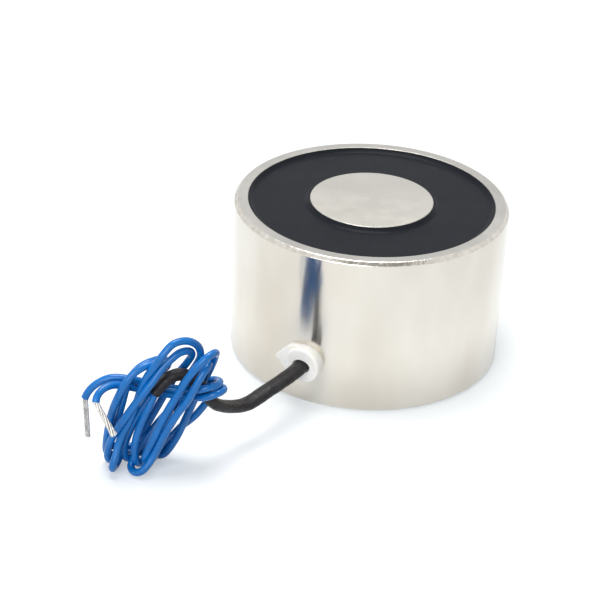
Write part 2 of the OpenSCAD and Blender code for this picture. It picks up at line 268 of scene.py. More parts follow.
def settle(routes):
    """Routes nudged until strands only touch each other and the sleeve, and none is under the table."""
    home = np.vstack(routes)
    wire = np.concatenate([np.full(len(r), k) for k, r in enumerate(routes)])
    along = np.concatenate([arc_lengths(r) for r in routes])
    length = np.concatenate([np.full(len(r), arc_lengths(r)[-1]) for r in routes])
    same = wire[:, None] == wire[None, :]
    neighbours = same & (np.abs(along[:, None] - along[None, :]) < NEIGHBOUR_REACH)
    hold = np.clip(np.minimum(along, length - along) / PINNED, 0.0, 1.0)[:, None]
    out_of_sleeve = (along > 2 * PINNED)[:, None]
    nudge = np.zeros_like(home)
    for _ in range(SETTLE_PASSES):
        place = home + nudge
        push = push_apart(place, neighbours)
        push += np.where(out_of_sleeve, push_off_sleeve(place), 0.0)
        nudge += EASE * push
        for k in range(len(routes)):
            rows = wire == k
            nudge[rows] = springy(home[rows], nudge[rows])
        nudge *= hold
        nudge[:, 2] = np.maximum(nudge[:, 2], WIRE_D / 2 - home[:, 2])
    place = home + nudge
    distance = np.linalg.norm(place[:, None, :] - place[None, :, :], axis=2)
    print("closest strands", round(float(distance[~neighbours].min()), 2), "mm, largest nudge",
          round(float(np.linalg.norm(nudge, axis=1).max()), 2), "mm")
    return [place[wire == k] for k in range(len(routes))]


wire_routes = [smooth_route(in_hank([p for turn in turns for p in turn]), SETTLE_STEP)
               for turns in (WIRE_A_TURNS, WIRE_B_TURNS)]
wire_routes = [smooth_route(r, ROUTE_STEP, steps=STEPS_BETWEEN_SETTLED) for r in settle(wire_routes)]

# %% [markdown]
# ## The wires as curves
#
# A curve with a round bevel is the lightest way to make an insulated wire: its own line is the wire's
# centre line, and its ends are capped flat, as a stripper leaves them. The thickness is given by the
# points' radius, because a curve's box is measured with that radius. The wires stand for the solid hank
# and for their own tails, which were only there to hold their place.

# %% Wires
WIRE_BEVEL_STEPS = 6


def adopt(piece, slot, *nodes):
    """A finished piece rides on the part and stands for CAD nodes; its slot is not used."""
    scene.collection.objects.link(piece)
    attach(piece, "root")
    if nodes:
        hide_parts(*nodes)
    return piece


def make_wire(name, route):
    """A round wire along a route in millimetres, capped at both ends."""
    data = bpy.data.curves.new(name, "CURVE")
    data.dimensions = "3D"
    data.bevel_depth = 1.0
    data.bevel_resolution = WIRE_BEVEL_STEPS
    data.use_fill_caps = True
    line = data.splines.new("POLY")
    line.points.add(len(route) - 1)
    for point, place in zip(line.points, route * MM):
        point.co = (*place, 1.0)
        point.radius = WIRE_D / 2 * MM
    line.use_smooth = True
    return bpy.data.objects.new(name, data)


wire_a = adopt(make_wire("wire_a", wire_routes[0]), "blue_insulation", "wire_hank", "lead_tail_a")
wire_b = adopt(make_wire("wire_b", wire_routes[1]), "blue_insulation", "lead_tail_b")
print("wires with", len(wire_routes[0]), "and", len(wire_routes[1]), "points")

# %% [markdown]
# ## The shrunk sleeve
#
# The sleeve is a thin tube that was heated until it gripped both wires, so it is oval and a little uneven.
# It could be a curve with an oval bevel, but a ring that is extruded step by step along the route can also
# breathe in width from step to step, which gives the soft wrinkles of shrunk tubing. The ring is carried
# along without twist: each step turns it only as much as the route turns.

# %% Mesh helpers


def edges_between(mesh, verts):
    """The edges that join these vertices."""
    chosen = set(verts)
    return [e for e in mesh.edges if e.verts[0] in chosen and e.verts[1] in chosen]


def grow_loop(mesh, edges):
    """Extrudes a loop of edges in place, and returns the new loop's vertices and edges."""
    made = bmesh.ops.extrude_edge_only(mesh, edges=edges)["geom"]
    verts = [v for v in made if isinstance(v, bmesh.types.BMVert)]
    chosen = set(verts)
    new_edges = [e for e in made if isinstance(e, bmesh.types.BMEdge)]
    return verts, [e for e in new_edges if e.verts[0] in chosen and e.verts[1] in chosen]


def finish_mesh(name, mesh, smooth=True):
    """Turns a bmesh into an object with outward faces."""
    bmesh.ops.recalc_face_normals(mesh, faces=mesh.faces)
    for face in mesh.faces:
        face.smooth = smooth
    data = bpy.data.meshes.new(name)
    mesh.to_mesh(data)
    mesh.free()
    return bpy.data.objects.new(name, data)


print("mesh helpers ready")

# %% Sleeve
SLEEVE_SIDES = 28
# Each swell has a size, a pace along the sleeve and a start
SWELLS = [(0.025, 1.9, 0.0), (0.02, 4.3, 1.0)]
PINCH_PER_SWELL = 0.8


def frames_along(route, side):
    """A matrix at each point of a route: x across, y up, z along, carried on without twist."""
    ahead = np.gradient(route, axis=0)
    ahead /= np.linalg.norm(ahead, axis=1)[:, None]
    across = Vector(side)
    frames = []
    for place, along in zip(route, ahead):
        along = Vector(along)
        across = (across - across.dot(along) * along).normalized()
        turn = Matrix((across, along.cross(across), along)).transposed().to_4x4()
        frames.append(Matrix.Translation(Vector(place) * MM) @ turn)
    return frames


def sleeve_shapes(frames):
    """The oval of the sleeve at each frame, swelling and pinching a little along the way."""
    shapes = []
    for i, place in enumerate(frames):
        along = i * ROUTE_STEP
        swell = sum(size * math.sin(pace * along + start) for size, pace, start in SWELLS)
        half_width = SLEEVE_W / 2 * (1 + swell)
        half_height = SLEEVE_H / 2 * (1 - PINCH_PER_SWELL * swell)
        shapes.append(place @ Matrix.Diagonal((half_width * MM, half_height * MM, 1, 1)))
    return shapes


shapes = sleeve_shapes(frames_along(sleeve_route, (1, 0, 0)))
mesh = bmesh.new()
ring = bmesh.ops.create_circle(mesh, cap_ends=True, radius=1.0, segments=SLEEVE_SIDES,
                               matrix=shapes[0])["verts"]
edges = edges_between(mesh, ring)
for before, now in zip(shapes, shapes[1:]):
    ring, edges = grow_loop(mesh, edges)
    bmesh.ops.transform(mesh, matrix=now @ before.inverted(), verts=ring)
bmesh.ops.contextual_create(mesh, geom=edges)
sleeve = adopt(finish_mesh("lead_cover", mesh), "black_sleeve", "lead_sleeve")
print("sleeve rings", len(shapes))

# %% [markdown]
# ## The bared ends
#
# Each wire was stripped for a few millimetres, and its fine strands were twisted and tinned. Six strands
# lie round a seventh. A spin that also climbs along its axis makes one strand from one circle, and a turn
# by a sixth makes the next. One end is tightly twisted, and the other opens a little towards its tip.

# %% Bare strands
STRANDS = 7
BUNDLE_D = 0.95
STRAND_D = BUNDLE_D / 3
STRAND_FULLNESS = 0.51
STRAND_R = STRAND_D * STRAND_FULLNESS
STRAND_SIDES = 10
STRAND_STEPS = 40
STRIPPED_INSIDE = 0.3
CUT_UNEVEN = 0.08
CUT_PACE = 2.4
FLARE_POWER = 3


def bare_strands(name, start, ahead, length, turns, flare, node):
    """Twisted strands from the cut end of a wire: start in the part's frame, ahead in the hank's."""
    ahead = Vector(np.array(ahead) @ HANK_AXES).normalized()
    across = ahead.orthogonal().normalized()
    turn = Matrix((across, ahead.cross(across), ahead)).transposed().to_4x4()
    place = Matrix.Translation((Vector(start) - ahead * STRIPPED_INSIDE) * MM) @ turn @ Matrix.Scale(MM, 4)
    mesh = bmesh.new()
    for k in range(STRANDS):
        offset = STRAND_D if k else 0.0
        spot = Matrix.Rotation(k * math.pi / 3, 4, "Z") @ Matrix.Translation((offset, 0, 0))
        ring = bmesh.ops.create_circle(mesh, cap_ends=False, radius=STRAND_R, segments=STRAND_SIDES,
                                       matrix=spot)["verts"]
        reach = length + STRIPPED_INSIDE + CUT_UNEVEN * math.sin(CUT_PACE * k)
        bmesh.ops.spin(mesh, geom=list(ring) + edges_between(mesh, ring), cent=(0, 0, 0), axis=(0, 0, 1),
                       angle=turns * 2 * math.pi, dvec=(0, 0, reach / STRAND_STEPS), steps=STRAND_STEPS,
                       use_merge=False)
    bmesh.ops.holes_fill(mesh, edges=[e for e in mesh.edges if e.is_boundary], sides=STRAND_SIDES)
    for vert in mesh.verts:
        widen = 1 + flare * min(max(vert.co.z / (length + STRIPPED_INSIDE), 0), 1) ** FLARE_POWER
        vert.co.x *= widen
        vert.co.y *= widen
    bmesh.ops.transform(mesh, matrix=place, verts=mesh.verts)
    return adopt(finish_mesh(name, mesh), "tinned_strands", node)


strands_a = bare_strands("bare_strands_a", wire_routes[0][-1], ahead=(0.04, 0.0, -1.0),
                         length=7.6, turns=1.6, flare=0.0, node="bare_end_a")
strands_b = bare_strands("bare_strands_b", wire_routes[1][-1], ahead=(0.485, -0.485, -0.728),
                         length=6.2, turns=0.7, flare=0.3, node="bare_end_b")
print("strand faces", len(strands_a.data.polygons), len(strands_b.data.polygons))

# %% [markdown]
# ## The lead at the bushing
#
# The sleeve and the wires are soft on the real object. The sleeve comes out of the bushing, the wires come
# out of the sleeve's end, and each wire carries its bared strands. Two sizes of the bushing are set here:
# how far its head stands out from the pot's axis, and how high its axis is.

HEAD_OUT = 27.0
BUSH_Z = 8.6

# %% [markdown]
# ## The pot
#
# The pot is turned from bar, drilled, tapped, polished and nickel plated. Spinning its profile about the
# axis is the same motion as the lathe's, so the profile below is what a turner would read from the
# drawing. A fine bevel then breaks each edge, because plated edges are never sharp and it is there that
# polished steel sparkles. The hole for the bushing crosses the wall, which no spin can make, so a
# drill-shaped cutter takes it out.

# %% Pot
POT_R = 25.0
POT_H = 30.0
POCKET_R = 22.5
POLE_R = 11.25
BASE_T = 5.0
EDGE = 0.6
TAP_R = 2.5
TAP_CREST_R = 2.1
TAP_DEPTH = 9.0
TAP_MOUTH_R = 2.6
TAP_RUN_OUT = 0.4
DRILL_HALF_ANGLE = math.radians(59)
DRILL_POINT = TAP_CREST_R / math.tan(DRILL_HALF_ANGLE)
EDGE_BREAK = 0.1
EDGE_STEPS = 3
POT_STEPS = 192
MERGE_DISTANCE = 1e-7
CRISP_ANGLE = math.radians(20)

POT_PROFILE = [
    (0, TAP_DEPTH + DRILL_POINT), (TAP_CREST_R, TAP_DEPTH), (TAP_R, TAP_DEPTH - TAP_RUN_OUT),
    (TAP_R, TAP_MOUTH_R - TAP_R), (TAP_MOUTH_R, 0),
    (POT_R - EDGE, 0), (POT_R, EDGE), (POT_R, POT_H - EDGE), (POT_R - EDGE, POT_H),
    (POCKET_R, POT_H), (POCKET_R, BASE_T), (POLE_R, BASE_T), (POLE_R, POT_H), (0, POT_H),
]


def spun(profile, steps):
    """A bmesh made by spinning a profile of (radius, height) in millimetres about the axis."""
    mesh = bmesh.new()
    verts = [mesh.verts.new((r * MM, 0, z * MM)) for r, z in profile]
    edges = [mesh.edges.new(pair) for pair in zip(verts, verts[1:])]
    bmesh.ops.spin(mesh, geom=verts + edges, cent=(0, 0, 0), axis=(0, 0, 1), angle=2 * math.pi, steps=steps,
                   use_merge=True)
    bmesh.ops.remove_doubles(mesh, verts=mesh.verts, dist=MERGE_DISTANCE)
    bmesh.ops.recalc_face_normals(mesh, faces=mesh.faces)
    return mesh


mesh = spun(POT_PROFILE, POT_STEPS)
crisp = [e for e in mesh.edges if len(e.link_faces) == 2 and e.calc_face_angle() > CRISP_ANGLE
         and math.hypot(*e.verts[0].co.xy) > 2 * TAP_R * MM]
bmesh.ops.bevel(mesh, geom=crisp, offset=EDGE_BREAK * MM, offset_type="OFFSET", affect="EDGES",
                segments=EDGE_STEPS, profile=0.5, material=-1)
pot = adopt(finish_mesh("pot", mesh), "nickel_plated_steel", "steel_pot")
print("pot spun in", POT_STEPS, "steps,", len(crisp), "edges broken")

# %% Hole for the bushing
BUSH_HOLE_R = 2.4
HOLE_SIDES = 64
SHARP_STEEL = math.radians(32)


def drill(piece, cutter):
    """Cuts the cutter out of a piece for good, and removes the cutter."""
    scene.collection.objects.link(cutter)
    cut = piece.modifiers.new("drill", "BOOLEAN")
    cut.operation = "DIFFERENCE"
    cut.solver = "EXACT"
    cut.object = cutter
    result = bpy.data.meshes.new_from_object(piece.evaluated_get(bpy.context.evaluated_depsgraph_get()))
    piece.modifiers.clear()
    piece.data = result
    bpy.data.objects.remove(cutter)


mesh = bmesh.new()
across_wall = Matrix.Translation((0, -POT_R * MM, BUSH_Z * MM)) @ Matrix.Rotation(math.pi / 2, 4, "X")
bmesh.ops.create_cone(mesh, cap_ends=True, segments=HOLE_SIDES, radius1=BUSH_HOLE_R * MM,
                      radius2=BUSH_HOLE_R * MM, depth=4 * (POT_R - POCKET_R) * MM, matrix=across_wall)
drill(pot, finish_mesh("hole_cutter", mesh))
pot.data.set_sharp_from_angle(angle=SHARP_STEEL)
print("pot faces", len(pot.data.polygons))

# %% [markdown]
# ## The thread in the back
#
# The magnet is held by one screw in its back. A tap leaves a ridge that climbs round the bore, and a spin
# that climbs one pitch per turn leaves the same ridge. It is only seen from behind, but a bare bore would
# look like a hole that nobody finished.

# %% Thread
PITCH = 0.8
THREAD_TURNS = 9
THREAD_START = 0.75
TURN_STEPS = 48
RIDGE_SUNK = 0.03
RIDGE_ROOT_R = TAP_R + RIDGE_SUNK
RIDGE_ROOT = 0.36
RIDGE_CREST = 0.06
RIDGE = [(RIDGE_ROOT_R, -RIDGE_ROOT), (TAP_CREST_R, -RIDGE_CREST), (TAP_CREST_R, RIDGE_CREST),
         (RIDGE_ROOT_R, RIDGE_ROOT)]

mesh = bmesh.new()
verts = [mesh.verts.new((r * MM, 0, (THREAD_START + z) * MM)) for r, z in RIDGE]
edges = [mesh.edges.new((verts[k], verts[(k + 1) % len(verts)])) for k in range(len(verts))]
bmesh.ops.spin(mesh, geom=verts + edges, cent=(0, 0, 0), axis=(0, 0, 1), angle=2 * math.pi * THREAD_TURNS,
               dvec=(0, 0, PITCH * MM / TURN_STEPS), steps=TURN_STEPS * THREAD_TURNS, use_merge=False)
bmesh.ops.holes_fill(mesh, edges=[e for e in mesh.edges if e.is_boundary], sides=len(RIDGE))
thread = adopt(finish_mesh("rear_thread_ridge", mesh), "nickel_plated_steel")
thread.data.set_sharp_from_angle(angle=SHARP_STEEL)
print("thread faces", len(thread.data.polygons))

# %% [markdown]
# ## The cable bushing
#
# The bushing is one moulding: a round head with the cable in its middle, a thinner wing that points to one
# side, and a neck that snaps into the wall. It could be joined from simple bodies, but a moulding has no
# seams. So one loop, the outline on the pot's side, is extruded again and again: up the wing's edge,
# across the wing to the foot of the head, up the head, over its rounded rim, down through the oval hole,
# round the inner lip, and back under the head, where it meets itself.

# %% Stations of the bushing
WING_OUT = 25.9
WING_ROUND = 0.35
HEAD_R = 3.35
HEAD_ROUND = 0.45
HEAD_FOOT = [(-0.15, 0.0), (-0.03, 0.08), (0.0, 0.25)]
FRONT_R = 2.4
FRONT_DISH = 0.03
HOLE = (1.6, 1.15)
HOLE_LIP = [(-0.45, -FRONT_DISH), (-0.3, 0.05), (-0.1, 0.05), (0, -0.1)]
NECK_R = 2.3
LIP_R = 2.7
LIP_EDGE = 0.1
LIP_OUT = 22.2
INNER_END = 21.35
ON_POT = None
QUARTER = [math.radians(a) for a in range(0, 91, 18)]


def rounded(kind, size, out, radius):
    """Stations over a rounded front edge."""
    return [(kind, size, radius * (1 - math.cos(a)), out - radius * (1 - math.sin(a))) for a in QUARTER]


# Each station is a kind of loop, its size, how far it is drawn in, and its distance from the pot's axis
BUSHING_STATIONS = (
    rounded("outline", 0.0, WING_OUT, WING_ROUND)
    + [("foot", HEAD_R, inset, WING_OUT + rise) for inset, rise in HEAD_FOOT]
    + rounded("circle", HEAD_R, HEAD_OUT, HEAD_ROUND)
    + [("circle", FRONT_R, 0, HEAD_OUT - FRONT_DISH)]
    + [("oval", HOLE, inset, HEAD_OUT + rise) for inset, rise in HOLE_LIP]
    + [("oval", HOLE, 0, INNER_END), ("circle", LIP_R - LIP_EDGE, 0, INNER_END),
       ("circle", LIP_R, 0, INNER_END + LIP_EDGE), ("circle", LIP_R, 0, LIP_OUT),
       ("circle", NECK_R, 0, LIP_OUT), ("circle", NECK_R, 0, ON_POT)]
)
print("bushing stations", len(BUSHING_STATIONS))

# %% Bushing
WING_TIP = (-5.9, 0)
WING_SHOULDER = (-2.8, 3.2)
WING_BLEND = 0.5
CORNER_ROUND = 0.6
CORNER_STEPS = 6
LONG_EDGE = 0.4
LONG_EDGE_CUTS = 5
SHARP_NYLON = math.radians(40)


def wing_corners():
    """The outline's corners: the wing's tip, its two shoulders, and the head's round side between them."""
    side = [math.radians(a) for a in range(90, -91, -30)]
    round_side = [(HEAD_R * math.cos(a), HEAD_R * math.sin(a)) for a in side]
    return [WING_TIP, WING_SHOULDER, *round_side, (WING_SHOULDER[0], -WING_SHOULDER[1])]


def reach_towards(reaches, angle):
    """How far the outline reaches at the known angle that is nearest to this one."""
    return reaches[max(reaches, key=lambda known: math.cos(known - angle))]


def bushing_radius(direction, reach, kind, size, inset):
    """How far a loop reaches from the bushing's axis in one direction."""
    wing = min(max((reach - HEAD_R) / WING_BLEND, 0.0), 1.0)
    if kind == "outline":
        return max(reach, HEAD_R) - inset * wing
    if kind == "foot":
        return size - inset * wing
    if kind == "circle":
        return size - inset
    return 1 / math.hypot(direction.x / size[0], direction.y / size[1]) - inset


def place_loop(verts, reaches, kind, size, inset, out):
    """Puts each vertex of a loop at its radius, and at a distance from the pot's axis or on the pot."""
    for vert in verts:
        direction = Vector((vert.co.x, vert.co.z)).normalized()
        reach = reach_towards(reaches, math.atan2(direction.y, direction.x))
        spot = direction * bushing_radius(direction, reach, kind, size, inset)
        away = math.sqrt(POT_R**2 - spot.x**2) if out is ON_POT else out
        vert.co = (spot.x, -away, spot.y)


mesh = bmesh.new()
corners = [mesh.verts.new((x, 0, z)) for x, z in wing_corners()]
mesh.faces.new(corners)
bmesh.ops.bevel(mesh, geom=corners, offset=CORNER_ROUND, offset_type="OFFSET", affect="VERTICES",
                segments=CORNER_STEPS, profile=0.5, material=-1)
long_edges = [e for e in mesh.edges if e.calc_length() > LONG_EDGE]
bmesh.ops.subdivide_edges(mesh, edges=long_edges, cuts=LONG_EDGE_CUTS)
bmesh.ops.delete(mesh, geom=mesh.faces[:], context="FACES_ONLY")
reaches = {math.atan2(v.co.z, v.co.x): v.co.length for v in mesh.verts}
first_edges = list(mesh.edges)
place_loop(list(mesh.verts), reaches, "outline", 0.0, 0.0, ON_POT)
edges = first_edges
for station in BUSHING_STATIONS:
    loop, edges = grow_loop(mesh, edges)
    place_loop(loop, reaches, *station)
bmesh.ops.bridge_loops(mesh, edges=first_edges + edges)
bmesh.ops.transform(mesh, matrix=Matrix.Scale(MM, 4) @ Matrix.Translation((0, 0, BUSH_Z)), verts=mesh.verts)
bushing = adopt(finish_mesh("bushing", mesh), "white_nylon", "cable_bushing")
bushing.data.set_sharp_from_angle(angle=SHARP_NYLON)
print("bushing faces", len(bushing.data.polygons))

# %% [markdown]
# ## Shared effects for the finishes
#
# No real surface has one colour or one gloss. Two effects come back in most of the finishes here, so each
# is a node group: an uneven value that drifts over the surface, and the fine marks that turning leaves, as
# rings by distance from the axis and as bands by height. Both read Object coordinates, which stay put on
# every piece.

# %% Uneven drift
NOISE_LOW = 0.3
NOISE_HIGH = 0.7


def new_group(name, inputs, outputs):
    """An empty shader node group with named sockets."""
    group = bpy.data.node_groups.new(name, "ShaderNodeTree")
    for label, kind in inputs:
        group.interface.new_socket(label, in_out="INPUT", socket_type=kind)
    for label, kind in outputs:
        group.interface.new_socket(label, in_out="OUTPUT", socket_type=kind)
    return group, group.nodes.new("NodeGroupInput"), group.nodes.new("NodeGroupOutput")


def uneven_group():
    """Noise over the surface, spread from a low to a high value."""
    group, given, result = new_group(
        "uneven",
        [("Scale", "NodeSocketFloat"), ("Detail", "NodeSocketFloat"), ("Stretch", "NodeSocketVector"),
         ("Low", "NodeSocketFloat"), ("High", "NodeSocketFloat")],
        [("Value", "NodeSocketFloat")],
    )
    place = group.nodes.new("ShaderNodeTexCoord")
    stretch = group.nodes.new("ShaderNodeVectorMath")
    stretch.operation = "MULTIPLY"
    noise = group.nodes.new("ShaderNodeTexNoise")
    spread = group.nodes.new("ShaderNodeMapRange")
    spread.inputs["From Min"].default_value = NOISE_LOW
    spread.inputs["From Max"].default_value = NOISE_HIGH
    join = group.links.new
    join(place.outputs["Object"], stretch.inputs[0])
    join(given.outputs["Stretch"], stretch.inputs[1])
    join(stretch.outputs["Vector"], noise.inputs["Vector"])
    join(given.outputs["Scale"], noise.inputs["Scale"])
    join(given.outputs["Detail"], noise.inputs["Detail"])
    join(noise.outputs["Fac"], spread.inputs["Value"])
    join(given.outputs["Low"], spread.inputs["To Min"])
    join(given.outputs["High"], spread.inputs["To Max"])
    join(spread.outputs["Result"], result.inputs["Value"])
    return group


UNEVEN = uneven_group()
print("node group:", UNEVEN.name)

# %% Turning marks


def turning_group():
    """Fine marks of the lathe, as rings about the axis and as bands along it."""
    group, given, result = new_group(
        "turning_marks",
        [("Lines", "NodeSocketFloat")],
        [("Rings", "NodeSocketFloat"), ("Bands", "NodeSocketFloat")],
    )
    place = group.nodes.new("ShaderNodeTexCoord")
    flat = group.nodes.new("ShaderNodeVectorMath")
    flat.operation = "MULTIPLY"
    flat.inputs[1].default_value = (1, 1, 0)
    radius = group.nodes.new("ShaderNodeVectorMath")
    radius.operation = "LENGTH"
    height = group.nodes.new("ShaderNodeSeparateXYZ")
    join = group.links.new
    join(place.outputs["Object"], flat.inputs[0])
    join(flat.outputs["Vector"], radius.inputs[0])
    join(place.outputs["Object"], height.inputs["Vector"])
    for distance, label in ((radius.outputs["Value"], "Rings"), (height.outputs["Z"], "Bands")):
        noise = group.nodes.new("ShaderNodeTexNoise")
        noise.noise_dimensions = "1D"
        join(distance, noise.inputs["W"])
        join(given.outputs["Lines"], noise.inputs["Scale"])
        join(noise.outputs["Fac"], result.inputs[label])
    return group


TURNING = turning_group()
print("node group:", TURNING.name)

# %% [markdown]
# ## Finishes
#
# Every finish is built the same way: two tones that drift into each other, a gloss that drifts too, and a
# small bump. What makes nickel, resin, nylon, rubbery sleeve or insulation out of it is the numbers, so
# one small class holds the way, and each finish below only gives its numbers.

# %% Finish helpers


class Finish:
    """A material under construction, with its shader at hand."""

    def __init__(self, name):
        self.material = bpy.data.materials.new(name)
        self.material.use_nodes = True
        self.nodes = self.material.node_tree.nodes
        self.links = self.material.node_tree.links
        self.shader = self.nodes["Principled BSDF"]

    def set(self, **values):
        """Plain values for the shader's sockets, with _ for the spaces in their names."""
        for label, value in values.items():
            self.shader.inputs[label.replace("_", " ")].default_value = value
        return self

    def uneven(self, scale, low=0.0, high=1.0, detail=3.0, stretch=(1, 1, 1)):
        """A value that drifts over the surface between low and high."""
        group = self.nodes.new("ShaderNodeGroup")
        group.node_tree = UNEVEN
        given = {"Scale": scale, "Low": low, "High": high, "Detail": detail, "Stretch": stretch}
        for label, value in given.items():
            group.inputs[label].default_value = value
        return group.outputs["Value"]

    def turning(self, lines, label):
        """The lathe's marks, as Rings or as Bands."""
        group = self.nodes.new("ShaderNodeGroup")
        group.node_tree = TURNING
        group.inputs["Lines"].default_value = lines
        return group.outputs[label]

    def tones(self, share, deep, pale):
        """Two tones, mixed by a value that changes over the surface."""
        mix = self.nodes.new("ShaderNodeMix")
        mix.data_type = "RGBA"
        mix.inputs["A"].default_value = (*deep, 1)
        mix.inputs["B"].default_value = (*pale, 1)
        self.links.new(share, mix.inputs["Factor"])
        self.links.new(mix.outputs["Result"], self.shader.inputs["Base Color"])
        return self

    def gloss(self, value):
        """A roughness that changes over the surface."""
        self.links.new(value, self.shader.inputs["Roughness"])
        return self

    def bump(self, height, depth):
        """A relief whose depth is given in millimetres."""
        bump = self.nodes.new("ShaderNodeBump")
        bump.inputs["Strength"].default_value = 1.0
        bump.inputs["Distance"].default_value = depth * MM
        self.links.new(height, bump.inputs["Height"])
        self.links.new(bump.outputs["Normal"], self.shader.inputs["Normal"])
        return self

    def lathe_tangent(self):
        """Highlights that are drawn out round the axis."""
        tangent = self.nodes.new("ShaderNodeTangent")
        tangent.direction_type = "RADIAL"
        tangent.axis = "Z"
        self.links.new(tangent.outputs["Tangent"], self.shader.inputs["Tangent"])
        return self


def dress(piece, *finishes):
    """Gives a piece its finishes, in the order of its material slots."""
    piece.data.materials.clear()
    for finish in finishes:
        piece.data.materials.append(finish.material)


print("finish helpers ready")

# %% [markdown]
# ## Nickel and steel
#
# The pot has one metal and five finishes. Its side is polished until it is nearly a mirror, and slightly
# warm. Its outer edges are plated over small dents that sparkle. The rim and the pole are ground flat: the
# rings of grinding marks scatter the light, so they look grey and silky. Inside the wall, on the pole's
# side, on the broken edges round the pole and the rim's inner edge, and in the tapped hole, the steel is
# dull as
# the tool left it and painted darker: painted shade in these recesses and along the pole's edge. Which face
# has which finish is told from where it lies and how it faces.

# %% Nickel
polished = Finish("polished_nickel").set(Metallic=1.0, Anisotropic=0.6, Anisotropic_Rotation=0.25)
polished.tones(polished.uneven(75, stretch=(1, 1, 0.4)), (0.61, 0.56, 0.49), (0.717, 0.685, 0.624))
polished.gloss(polished.uneven(140, low=0.14, high=0.2))
polished.bump(polished.turning(9000, "Bands"), depth=0.0004)
polished.lathe_tangent()

broken_edge = Finish("plated_edge").set(Metallic=1.0)
broken_edge.tones(broken_edge.uneven(900), (0.6, 0.57, 0.51), (0.76, 0.73, 0.68))
broken_edge.gloss(broken_edge.uneven(1600, low=0.08, high=0.3))
broken_edge.bump(broken_edge.uneven(1100, detail=2.0), depth=0.035)


def ground_nickel(name, deep, pale):
    """Nickel with the rings that grinding leaves."""
    ground = Finish(name).set(Metallic=1.0, Anisotropic=0.15)
    ground.tones(ground.uneven(90, detail=2.0), deep, pale)
    ground.gloss(ground.uneven(260, low=0.26, high=0.36))
    ground.bump(ground.turning(5200, "Rings"), depth=0.0015)
    return ground.lathe_tangent()


pole_face = ground_nickel("ground_pole", (0.54, 0.523, 0.482), (0.592, 0.574, 0.53))
rim_face = ground_nickel("ground_rim", (0.45, 0.437, 0.41), (0.52, 0.507, 0.475))

# Dull steel painted darker than the nickel: painted shade in the wall, the tapped hole and its thread, and
# on the pole's side and edge.
dull_steel_and_painted_shade = Finish("bored_steel_painted_shade").set(Metallic=1.0)
dull_steel_and_painted_shade.tones(dull_steel_and_painted_shade.uneven(700), (0.3, 0.29, 0.27), (0.45, 0.44, 0.41))
dull_steel_and_painted_shade.gloss(dull_steel_and_painted_shade.uneven(900, low=0.3, high=0.5))
dull_steel_and_painted_shade.bump(dull_steel_and_painted_shade.turning(9000, "Bands"), depth=0.002)
print("nickel finishes done")

# %% Finishes of the pot's faces
POT_FINISHES = [polished, broken_edge, rim_face, pole_face, dull_steel_and_painted_shade]
FACES_UP = 0.98
FACES_OUT = 0.1


def pot_finish(polygon):
    """The finish of one face of the pot."""
    slope = abs(polygon.normal.z)
    radius = math.hypot(polygon.center.x, polygon.center.y) / MM
    # The tapped hole gets the darker steel: painted shade in the bore.
    if radius < TAP_MOUTH_R:
        return dull_steel_and_painted_shade if polygon.center.z < POT_H / 2 * MM else pole_face
    if slope > FACES_UP:
        return rim_face if radius > POCKET_R else pole_face
    # Faces inside the wall, on the pole's side and on the broken edges round the pole and the rim's inner
    # edge get the darker steel: painted shade.
    if radius < (POCKET_R + POT_R) / 2:
        return dull_steel_and_painted_shade
    return broken_edge if slope > FACES_OUT else polished


dress(pot, *POT_FINISHES)
for polygon in pot.data.polygons:
    polygon.material_index = POT_FINISHES.index(pot_finish(polygon))
# The thread in the tapped hole gets the darker steel too: painted shade.
dress(thread, dull_steel_and_painted_shade)
print("pot finishes:", [m.name for m in pot.data.materials])

# %% [markdown]
# ## Resin, nylon, sleeve and wire
#
# The resin is cast, so it is nearly black and satin, with a faint swell. The nylon lets some light in,
# which takes the hard edge off its shadows. The sleeve has a fine, dull grain, the insulation is smooth
# and clean, and the tinned strands are a soft grey metal.

# %% Resin, nylon, sleeve and insulation
resin = Finish("cast_resin").set(Specular_IOR_Level=0.04)
resin.tones(resin.uneven(180), (0.0125, 0.0142, 0.0188), (0.0145, 0.0165, 0.0215))
resin.gloss(resin.uneven(300, low=0.24, high=0.34))
resin.bump(resin.uneven(120, detail=2.0), depth=0.02)
dress(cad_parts["potting_resin"], resin)

nylon = Finish("white_nylon").set(Subsurface_Weight=0.4, Subsurface_Scale=1.2 * MM,
                                  Subsurface_Radius=(1.0, 0.9, 0.8))
nylon.tones(nylon.uneven(240, stretch=(1.6, 0.6, 0.8)), (0.95, 0.935, 0.86), (0.96, 0.965, 0.96))
nylon.gloss(nylon.uneven(500, low=0.3, high=0.42))
nylon.bump(nylon.uneven(1500), depth=0.006)
dress(bushing, nylon)

shrunk = Finish("black_shrink_sleeve").set(Specular_IOR_Level=0.25)
shrunk.tones(shrunk.uneven(1300, detail=5.0), (0.0055, 0.005, 0.006), (0.02, 0.0195, 0.0225))
shrunk.gloss(shrunk.uneven(1400, low=0.36, high=0.55))
shrunk.bump(shrunk.uneven(1500, detail=4.0), depth=0.05)
dress(sleeve, shrunk)

insulation = Finish("blue_insulation").set(Specular_IOR_Level=0.35)
insulation.tones(insulation.uneven(350), (0.003, 0.132, 0.43), (0.004, 0.162, 0.52))
insulation.gloss(insulation.uneven(900, low=0.18, high=0.28))
insulation.bump(insulation.uneven(2200), depth=0.008)
dress(wire_a, insulation)
dress(wire_b, insulation)

tinned = Finish("tinned_copper").set(Metallic=1.0)
tinned.tones(tinned.uneven(1600), (0.4, 0.39, 0.37), (0.64, 0.63, 0.61))
tinned.gloss(tinned.uneven(2200, low=0.28, high=0.42))
tinned.bump(tinned.uneven(3000), depth=0.006)
dress(strands_a, tinned)
dress(strands_b, tinned)
print("visible finishes done")

